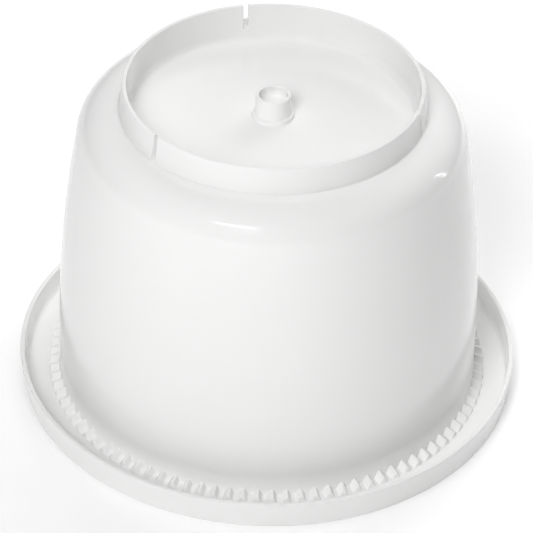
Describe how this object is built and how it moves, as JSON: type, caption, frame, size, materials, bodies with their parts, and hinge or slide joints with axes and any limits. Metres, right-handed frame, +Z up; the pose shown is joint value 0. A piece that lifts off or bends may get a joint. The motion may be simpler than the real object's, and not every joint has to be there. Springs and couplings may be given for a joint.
{
  "type": "net-lined cheese mould",
  "caption": "Round white plastic cheese mould, turned over on its rim, with a drainage net inside and a follower that presses into it.",
  "frame": {"origin": "on the table, in the mould's axis: the middle of the rim it stands on when it is turned over", "axes": "+Z up along the mould's axis, from the rim to the foot ring; -Y is the front, as the picture sees it, +X to the right"},
  "size_m": [0.2996, 0.3, 0.203],
  "materials": {
    "vat_plastic": "glossy white moulded polyethylene",
    "follower_plastic": "satin white moulded polyethylene",
    "hoop_plastic": "satin off-white moulded plastic",
    "net": "fine woven white plastic drainage net"
  },
  "bodies": {
    "net_insert": {"net_rim_hoop": "hoop_plastic", "net_side": "net", "net_corner_hoop": "hoop_plastic", "net_base": "net"},
    "vat_shell": {"vat": "vat_plastic"},
    "press_follower": {"follower": "follower_plastic", "follower_net": "net", "follower_clip_ring": "hoop_plastic"}
  },
  "joints": [
    {"name": "vat_lift", "type": "slide", "parent": "net_insert", "child": "vat_shell", "axis": [0, 0, 1], "range_m": [0, 0.2]},
    {"name": "press_stroke", "type": "slide", "parent": "net_insert", "child": "press_follower", "axis": [0, 0, 1], "range_m": [0, 0.04]}
  ]
}
